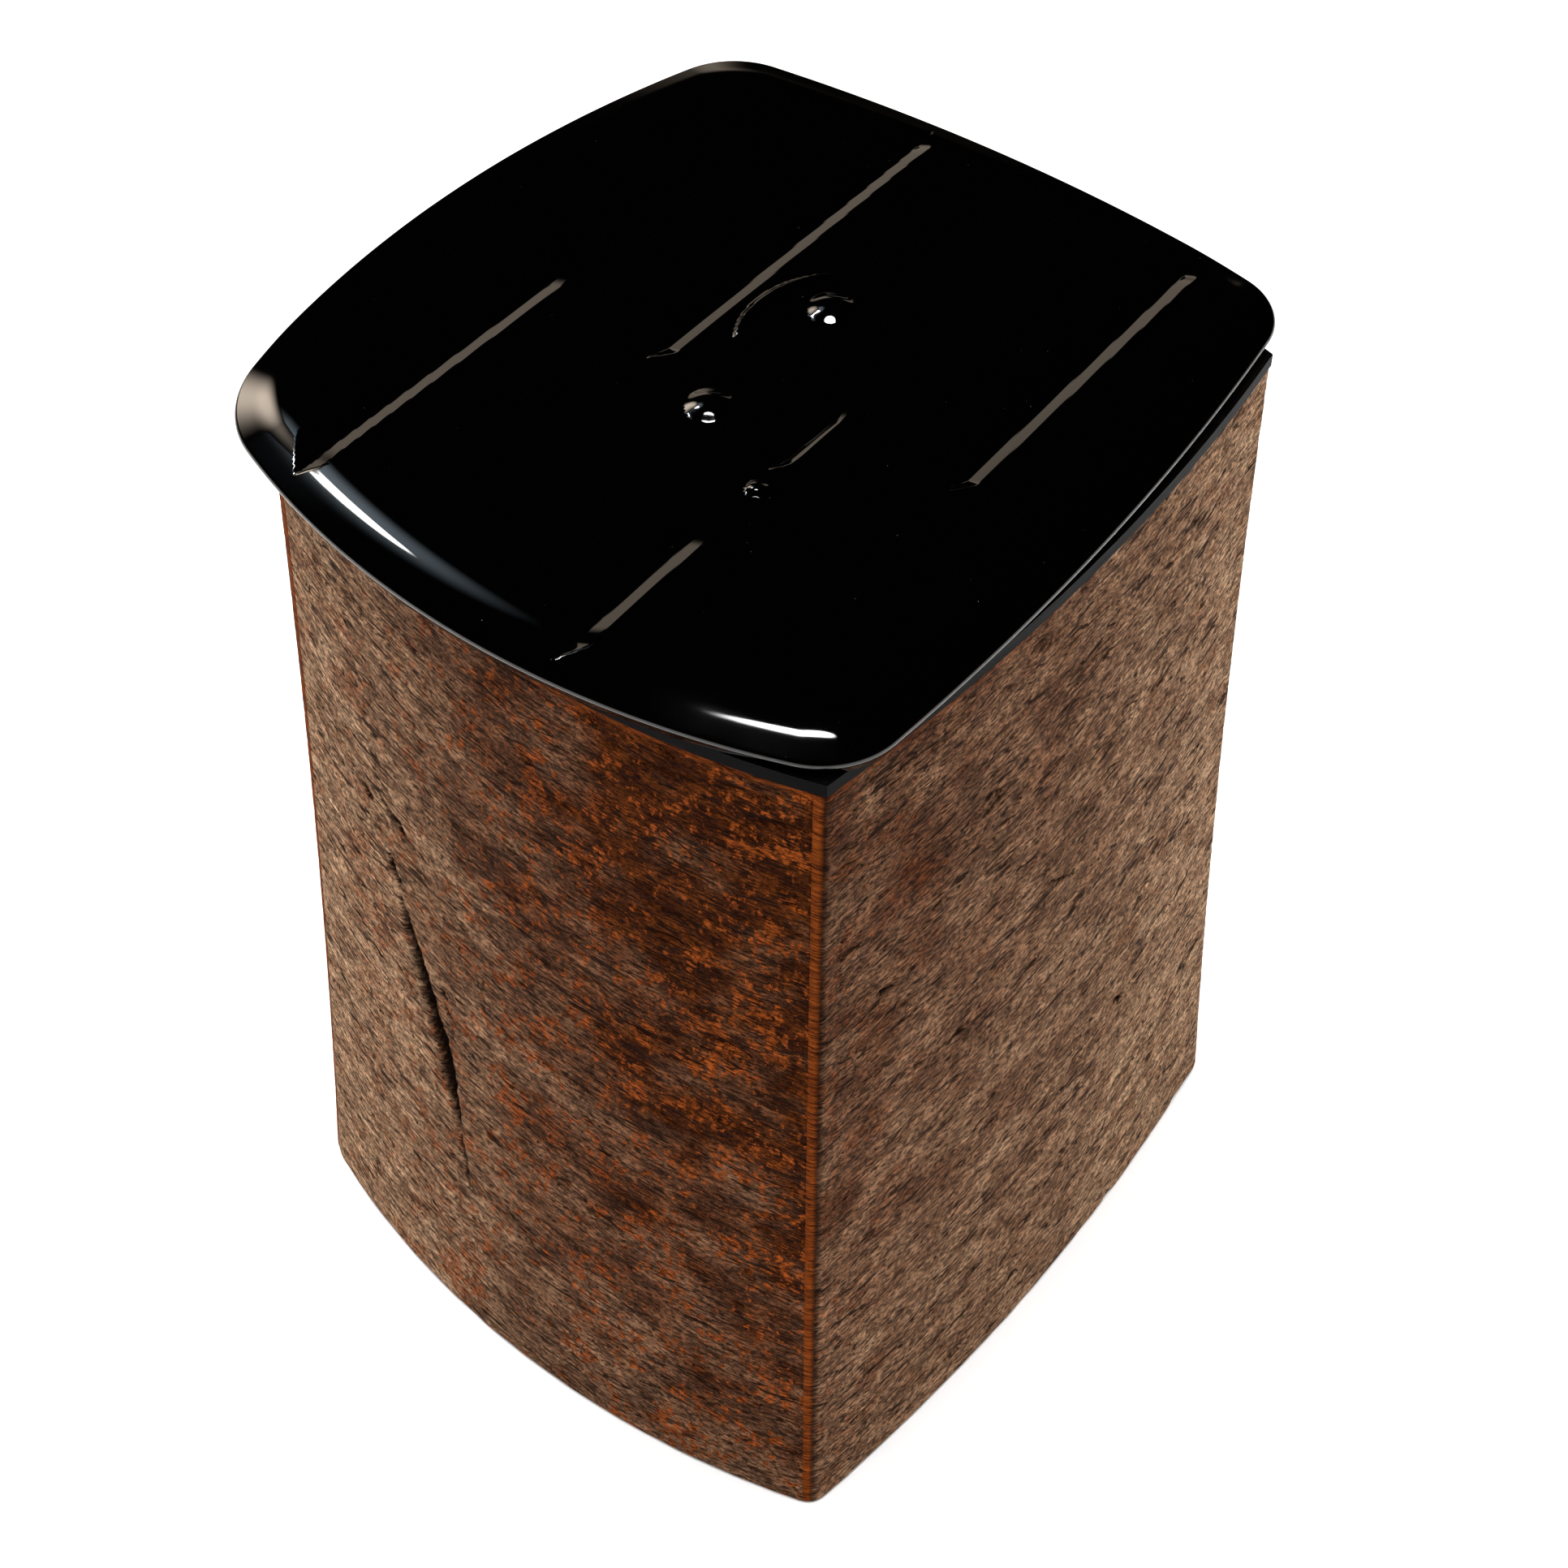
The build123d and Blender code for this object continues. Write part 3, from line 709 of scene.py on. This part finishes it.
RIGHT_SPLITS = [
    ([(-14.6, 89.0), (-12.6, 89.9), (-10.9, 89.3), (-11.4, 88.1), (-13.6, 87.9), (-14.6, 89.0)], 0.22, 0.3),
    ([(-2.9, 69.1), (0.6, 67.0), (3.6, 65.4)], 0.2, 0.3),
    ([(-27.4, 75.3), (-25.6, 74.6)], 0.35, 0.35),
    ([(13.4, 35.9), (14.6, 35.3)], 0.45, 0.35),
    ([(-24.0, 60.0), (-17.0, 59.0), (-12.0, 59.4)], 0.16, 0.25),
    ([(2.0, 80.4), (9.0, 81.0), (14.0, 80.2)], 0.16, 0.25),
]
SPLITS = {"front": ("x", FRONT_SPLITS), "right": ("y", RIGHT_SPLITS), "back": ("x", []), "left": ("y", [])}
# How warm the colour is at even steps along a sheet. Along with the bark's own change of hue, this is painted
# light and shade: low values give a pale, lit tone, as at the front's left end by the window and at the right
# sheet's far end, and high ones a dark, shaded red-brown.
WARMTH_AND_SHADE = {
    "front": (0.05, 0.35, 0.84, 1.0, 1.08),
    "right": (0.8, 0.68, 0.58, 0.34, -0.1),
    "back": (0.1, 0.3, 0.5, 0.5, 0.6),
    "left": (0.6, 0.5, 0.35, 0.2, 0.1),
}
# How many rust-red spots it has there.
RUSTY = {
    "front": (0.25, 0.55, 0.8, 0.9, 0.95),
    "right": (0.35, 0.12, 0.1, 0.15, 0.2),
    "back": (0.2, 0.2, 0.3, 0.3, 0.4),
    "left": (0.4, 0.3, 0.2, 0.2, 0.2),
}
FOOT_PALENESS = 0.34  # how much less warm it is at the foot


def bark_relief(along, height, seed):
    """How deep the sheet lies below its outermost surface, in millimetres."""
    level = height + 1.1 * noise(along, height, 21, 13, seed) + 0.3 * noise(along, height, 5, 3, seed + 1)
    swell = 0.5 + 0.5 * noise(along, height, 15, 10, seed + 2)
    ridges = np.abs(noise(along, level, 6.5, 0.95, seed + 3))
    fibres = 0.5 + 0.5 * noise(along, level, 2.2, 0.55, seed + 4)
    dashes = smooth((noise(along, level, 2.6, 0.75, seed + 5) - 0.35) / 0.4)
    cracks = smooth((0.06 - np.abs(noise(along, level, 17, 2.6, seed + 6))) / 0.05)
    cracks = cracks * smooth((noise(along, height, 9, 5, seed + 7) - 0.15) / 0.3)
    return 0.07 * swell + 0.05 * ridges + 0.06 * fibres + 0.13 * dashes + 0.16 * cracks


def splits_on(along, across, height, lines, seed):
    """Depth of the splits and knots of one sheet, and the painted shade over them."""
    depth, dark = np.zeros(height.shape), np.zeros(height.shape)
    ragged = 0.22 * noise(along, height, 0.9, 1.3, seed + 8)
    for line, half_width, deep in lines:
        away, share = distance_to_line(across, height, line)
        swell = np.sqrt(np.clip(4 * share * (1 - share), 0.12, 1)) if len(line) > 2 else 1.0
        reach = half_width * swell * (1 + ragged)
        depth = np.maximum(depth, deep * smooth((reach - away) / (0.7 * half_width)))
        # Painted shade: black that reaches a little past the hollow of each split.
        dark = np.maximum(dark, smooth((reach * 1.05 - away) / (0.45 * half_width)))
    return depth, dark


def corner_radius(corner, height, top):
    return CORNER_RADIUS_TOP + (CORNER_RADII_FOOT[corner % 4] - CORNER_RADIUS_TOP) * (1 - height / top) ** 1.5


def round_corner(points, corner, way_a, way_b, radius):
    """Moves the points of one level that lie past a corner's tangents on to its rounding."""
    bisector = way_a + way_b
    half = np.arccos(np.clip(way_a @ way_b, -1, 1)) / 2
    centre = corner + bisector / np.linalg.norm(bisector) * radius / sin(half)
    near = np.linalg.norm(points[:, :2] - corner, axis=1) < radius / tan(half)
    away = points[near, :2] - centre
    gap = np.linalg.norm(away, axis=1, keepdims=True)
    points[near, :2] = centre + away / gap * radius


def build_bark(material):
    names = ("right", "back", "left", "front")
    skin = Skin([f"bark_{name}" for name in names])
    sides = [skin.side(i, BARK_COLUMNS, BARK_ROWS) for i in range(4)]
    sheets = []
    for i, name in enumerate(names):
        grid, along = sides[i]
        length = along[-1]
        axis, lines = SPLITS[name]
        across = grid[..., 0] if axis == "x" else grid[..., 1]
        height = grid[..., 2]
        walked = np.repeat(along[None], BARK_ROWS + 1, axis=0)
        seed = 100 * (i + 1)
        relief = bark_relief(walked, height, seed)
        depth, dark = splits_on(walked, across, height, lines, seed)
        share = walked / length
        steps = np.linspace(0, 1, len(WARMTH_AND_SHADE[name]))
        warmth_and_shade = np.interp(share, steps, WARMTH_AND_SHADE[name]) - FOOT_PALENESS * (1 - height / skin.top) ** 2
        rusty = np.interp(share, steps, RUSTY[name])
        sheets.append({"name": name, "grid": grid, "along": walked, "relief": relief, "depth": depth,
                       "dark": dark, "warmth_and_shade": warmth_and_shade, "rusty": rusty, "length": length})
    for sheet in sheets:
        shape_sheet(sheet)
    for i in range(4):
        bark_piece(names[i], join_strips(i, sheets), material)


def shape_sheet(sheet):
    """Works out how far a sheet's points go in, by its relief, splits, foot and seams, adds painted shade
    along its two corners, and measures the ways of its two vertical edges, by which they are rounded later.
    """
    grid = sheet["grid"]
    along_way = np.gradient(grid, axis=1)
    up_way = np.gradient(grid, axis=0)
    outward = np.cross(along_way, up_way)
    outward /= np.linalg.norm(outward, axis=-1, keepdims=True)
    height, walked = grid[..., 2], sheet["along"]
    from_corner = np.minimum(walked, sheet["length"] - walked)
    calm = smooth(from_corner / CALM_WIDTH)
    foot = FOOT_ROUNDING * np.clip(1 - height / (2 * FOOT_ROUNDING), 0, 1) ** 2
    seam = SEAM_DEPTH * hollow(from_corner - BARK_THICK, SEAM_HALF_WIDTH)
    depth = sheet["relief"] * (0.25 + 0.75 * calm) + sheet["depth"] + foot + seam
    # Painted shade along the sheet's two corners, joined to the painted shade of the splits.
    shaded = 0.75 * smooth((CORNER_DARK_WIDTH - from_corner) / CORNER_DARK_FADE)
    sheet["dark"] = np.maximum(sheet["dark"], shaded)
    first_way = grid[:, WAY_COLUMNS, :2] - grid[:, 0, :2]
    last_way = grid[:, -1 - WAY_COLUMNS, :2] - grid[:, -1, :2]
    sheet["ways"] = [way / np.linalg.norm(way, axis=1, keepdims=True) for way in (first_way, last_way)]
    sheet["outward"], sheet["push"] = outward, depth


def join_strips(which_sheet, sheets):
    """One sheet's rows of points. The left and right sheets run round both corners by their own
    thickness, and the front and back ones stop short by as much."""
    sheet, before, after = sheets[which_sheet], sheets[which_sheet - 1], sheets[(which_sheet + 1) % 4]
    top = sheet["grid"][-1, 0, 2]
    laps = sheet["name"] in ("right", "left")
    carried = ("push", "warmth_and_shade", "rusty", "dark", "relief", "outward")
    out = {key: [] for key in ("points", "cut", *carried)}
    parts = [(before, "tail"), (sheet, "all"), (after, "head")] if laps else [(sheet, "short")]
    for part, which in parts:
        walked = part["along"][0]
        length = part["length"]
        if which == "tail":
            last = walked[walked <= length - BARK_THICK][-1]
            chosen = (walked >= last) & (walked < length - 1e-6)
        elif which == "head":
            first = walked[walked >= BARK_THICK][0]
            chosen = (walked <= first) & (walked > 1e-6)
        elif which == "all":
            chosen = np.ones(len(walked), bool)
        else:
            chosen = (walked >= BARK_THICK) & (walked <= length - BARK_THICK)
        out["points"].append(part["grid"][:, chosen])
        for key in carried:
            out[key].append(part[key][:, chosen])
        fresh = 1.0 if which in ("tail", "head") else 0.0
        out["cut"].append(np.full((len(part["grid"]), int(chosen.sum())), fresh))
    joined = {key: np.concatenate(value, axis=1) for key, value in out.items()}
    ends = ((before, sheet, 0, which_sheet), (sheet, after, -1, which_sheet + 1))
    for first, second, corner_side, number in ends:
        corner = sheet["grid"][:, corner_side, :2]
        way_a, way_b = first["ways"][1], second["ways"][0]
        for row in range(len(corner)):
            radius = corner_radius(number, sheet["grid"][row, 0, 2], top)
            round_corner(joined["points"][row], corner[row], way_a[row], way_b[row], radius)
    return joined


def bark_piece(name, strip, material):
    """A closed sheet: the worked outer surface, and a plain inner one at the sheet's thickness."""
    height = strip["points"][..., 2]
    foot, top = height[0, 0], height[-1, 0]
    outer = strip["points"] - strip["outward"] * strip["push"][..., None]
    outer[..., 2] = np.clip(outer[..., 2], foot, top)
    outer[0, :, 2], outer[-1, :, 2] = foot, top
    rows, columns = outer.shape[:2]
    lines = np.linspace(0, rows - 1, INNER_ROWS).astype(int)
    picks = np.unique(np.append(np.arange(0, columns, INNER_SPACING), columns - 1))
    lattice = np.ix_(lines, picks)
    inner = (strip["points"] - strip["outward"] * BARK_THICK)[lattice]
    inner[..., 2] = height[lines, 0][:, None]
    front = np.arange(rows * columns).reshape(rows, columns)
    back = rows * columns + np.arange(len(lines) * len(picks)).reshape(len(lines), len(picks))
    faces = grid_faces(rows, columns) + grid_faces(len(lines), len(picks), rows * columns, flip=True)
    for j, (a, b) in enumerate(zip(picks, picks[1:])):
        faces.append([*front[-1, a : b + 1].tolist(), int(back[-1, j + 1]), int(back[-1, j])])
        faces.append([*front[0, a : b + 1][::-1].tolist(), int(back[0, j]), int(back[0, j + 1])])
    for j, (a, b) in enumerate(zip(lines, lines[1:])):
        faces.append([*front[a : b + 1, 0].tolist(), int(back[j + 1, 0]), int(back[j, 0])])
        faces.append([*front[a : b + 1, -1][::-1].tolist(), int(back[j, -1]), int(back[j + 1, -1])])
    lip = smooth((height - top + LIP_HEIGHT) / LIP_FADE) * smooth(strip["warmth_and_shade"] * 2 - 0.9)
    shown = {
        "warmth_and_shade": strip["warmth_and_shade"],
        "rusty": strip["rusty"],
        # painted shade over the splits and along the corners
        "painted_shade": strip["dark"],
        "cut": np.maximum(strip["cut"], LIP_CUT * lip),
        "relief": strip["relief"] / RELIEF_RANGE,
    }
    values = {key: np.append(value.ravel(), value[lattice].ravel()) for key, value in shown.items()}
    points = np.concatenate([outer.reshape(-1, 3), inner.reshape(-1, 3)])
    make_piece(f"bark_sheet_{name}", points, faces, "caddy", material,
               (f"bark_{name}",), values=values)


# ================================================================ stage
def build_floor():
    """A plain pale floor."""
    material, t = new_material("studio_floor")
    where = t.millimetres()
    tone = t.grain(where, (60, 60, 60), detail=2.0)
    colour = t.mix(tone, (0.90, 0.90, 0.90, 1), (0.93, 0.93, 0.93, 1))
    t.finish(colour, 0.9, t.bump(tone, 0.01), Specular_IOR_Level=0.1)
    corners = [(x * FLOOR_HALF, y * FLOOR_HALF, 0) for x, y in ((-1, -1), (1, -1), (1, 1), (-1, 1))]
    mesh = bpy.data.meshes.new("studio_floor")
    mesh.from_pydata(corners, [], [(0, 1, 2, 3)])
    floor = bpy.data.objects.new("studio_floor", mesh)
    bpy.context.scene.collection.objects.link(floor)
    floor.data.materials.append(material)


def build_world():
    """A pale band round the horizon with a dark card in it, and darkness above."""
    world = bpy.data.worlds.new("studio")
    bpy.context.scene.world = world
    t = Tree(world)
    way = t.add("ShaderNodeTexCoord").outputs["Generated"]
    height = t.add("ShaderNodeSeparateXYZ", None, Vector=way).outputs["Z"]
    ahead = t.add("ShaderNodeVectorMath", {"operation": "DOT_PRODUCT"}, i0=way, i1=DARK_CARD).outputs["Value"]
    low = t.maths("MULTIPLY", t.between(height, 0.21, 0.15), t.between(ahead, 0.985, 0.965))
    colour = t.mix(low, (0, 0, 0, 1), (0.80, 0.66, 0.52, 1))
    shader = t.add("ShaderNodeBackground", None, Color=colour, Strength=1.0)
    output = t.add("ShaderNodeOutputWorld")
    t.links.new(shader.outputs[0], output.inputs[0])


def softbox(name, place, along, size, radiance, colour, core=0.5):
    """A glowing panel turned to the lid, that is brightest in its middle and fades to its edge.
    along is the way of its first measure, and core the share of its half width that glows evenly."""
    material, t = new_material(name)
    where = t.add("ShaderNodeTexCoord").outputs["Object"]
    away = t.add("ShaderNodeVectorMath", {"operation": "LENGTH"}, i0=where).outputs["Value"]
    power = t.maths("MULTIPLY", t.between(away, 1.0, core), radiance)
    glow = t.add("ShaderNodeEmission", None, Color=(*colour, 1), Strength=power)
    output = t.add("ShaderNodeOutputMaterial")
    t.links.new(glow.outputs[0], output.inputs[0])
    mesh = bpy.data.meshes.new(name)
    rim = [(cos(a), sin(a), 0) for a in np.linspace(0, 2 * pi, 49)[:-1]]
    mesh.from_pydata(rim, [], [tuple(range(len(rim)))])
    panel = bpy.data.objects.new(name, mesh)
    bpy.context.scene.collection.objects.link(panel)
    panel.data.materials.append(material)
    facing = (Vector(LID_MIDDLE) - Vector(place)).normalized()
    first = Vector(along)
    first = (first - first.dot(facing) * facing).normalized()
    turned = Matrix((first * size[0] / 2, facing.cross(first) * size[1] / 2, facing)).transposed().to_4x4()
    turned.translation = Vector(place)
    panel.matrix_world = turned
    panel.visible_camera = False
    panel.visible_shadow = False


def place_lamp(name, light):
    """Adds a light that glossy surfaces don't show."""
    lamp = bpy.data.objects.new(name, light)
    bpy.context.scene.collection.objects.link(lamp)
    lamp.visible_glossy = False
    return lamp


def area_light(name, place, size, power):
    """A soft round light turned to the origin."""
    light = bpy.data.lights.new(name, "AREA")
    light.shape = "DISK"
    light.size = size
    light.energy = power
    lamp = place_lamp(name, light)
    lamp.location = place
    lamp.rotation_euler = (-Vector(place)).to_track_quat("-Z", "Y").to_euler()


def sky_light(name, power, spread):
    """An even light from above that reaches all of the floor. spread is its width in degrees."""
    light = bpy.data.lights.new(name, "SUN")
    light.energy = power
    light.angle = radians(spread)
    place_lamp(name, light)


def build_lights():
    """A warm window to the left with a bright spot over it, a lamp overhead, and soft fill."""
    white, warm, blue = (1.0, 1.0, 1.0), (1.0, 0.84, 0.68), (0.72, 0.88, 1.0)
    softbox("window_left", (-0.80, 0.16, 0.60), (0, -0.3, 0.95), (0.58, 0.26), 9.0, warm, core=0.15)
    softbox("spot_left", (-0.80, 0.055, 1.01), (0, 0, 1), (0.29, 0.11), 60.0, white, core=0.7)
    softbox("haze_left", (-0.80, 0.13, 1.02), (0, 0, 1), (0.62, 0.48), 2.6, blue, core=0.1)
    softbox("lamp_overhead", (-0.08, 0.01, 1.30), (0.84, 0.54, 0), (0.54, 0.09), 60.0, white, core=0.7)
    area_light("fill_overhead", (0.0, 0.0, 1.8), 2.6, 45.0)
    sky_light("sky_overhead", 2.4, 60)


def build_camera():
    azimuth, elevation, roll = (radians(v) for v in (CAMERA_AZIMUTH, CAMERA_ELEVATION, CAMERA_ROLL))
    back = Vector((sin(azimuth) * cos(elevation), -cos(azimuth) * cos(elevation), sin(elevation)))
    level = Vector((0, 0, 1)).cross(back).normalized()
    upright = back.cross(level)
    right = cos(roll) * level + sin(roll) * upright
    up = back.cross(right)
    camera_data = bpy.data.cameras.new("camera")
    camera_data.lens = CAMERA_LENS
    camera_data.sensor_width = 36.0
    camera_data.clip_start = 0.01
    camera = bpy.data.objects.new("camera", camera_data)
    bpy.context.scene.collection.objects.link(camera)
    turned = Matrix((right, up, back)).transposed().to_4x4()
    turned.translation = Vector(CAMERA_TARGET) + CAMERA_DISTANCE * back
    camera.matrix_world = turned
    bpy.context.scene.camera = camera


# ================================================================ assembly
lacquer = black_lacquer()
bark = cherry_bark()
core = plain_wood("core_wood", (0.50, 0.36, 0.23, 1), (0.36, 0.23, 0.13, 1), (1.2, 1.2, 22), 0.6, 0.0)
inner = plain_wood("liner_wood", (0.30, 0.15, 0.08, 1), (0.19, 0.085, 0.045, 1), (2.2, 14, 14), 0.35, 0.25)
collar = satin_lacquer("collar_lacquer", (0.012, 0.009, 0.008, 1), (0.05, 0.028, 0.018, 1), 0.18, 0.34)
veneer = satin_lacquer("base_lacquer", (0.022, 0.016, 0.013, 1), (0.07, 0.045, 0.03, 1), 0.3, 0.5)
rim = satin_lacquer("rim_lacquer", (0.0012, 0.001, 0.001, 1), (0.003, 0.0025, 0.002, 1), 0.35, 0.55, 0.02)
FINISHES = {
    "core_wood": core, "liner_wood": inner, "black_lacquer": lacquer,
    "collar_lacquer": collar, "base_lacquer": veneer, "cherry_bark": bark,
}
for subpart in frame["record"]["subparts"]:
    node = frame["nodes"][subpart["node"]]
    for holder in node.material_slots:
        holder.material = FINISHES[subpart["material_slot"]]
for holder in frame["nodes"]["mouth_rim"].material_slots:
    holder.material = rim

build_lid(lacquer)
build_bark(bark)
build_floor()
build_world()
build_lights()
build_camera()
bpy.context.scene.view_settings.view_transform = "Standard"
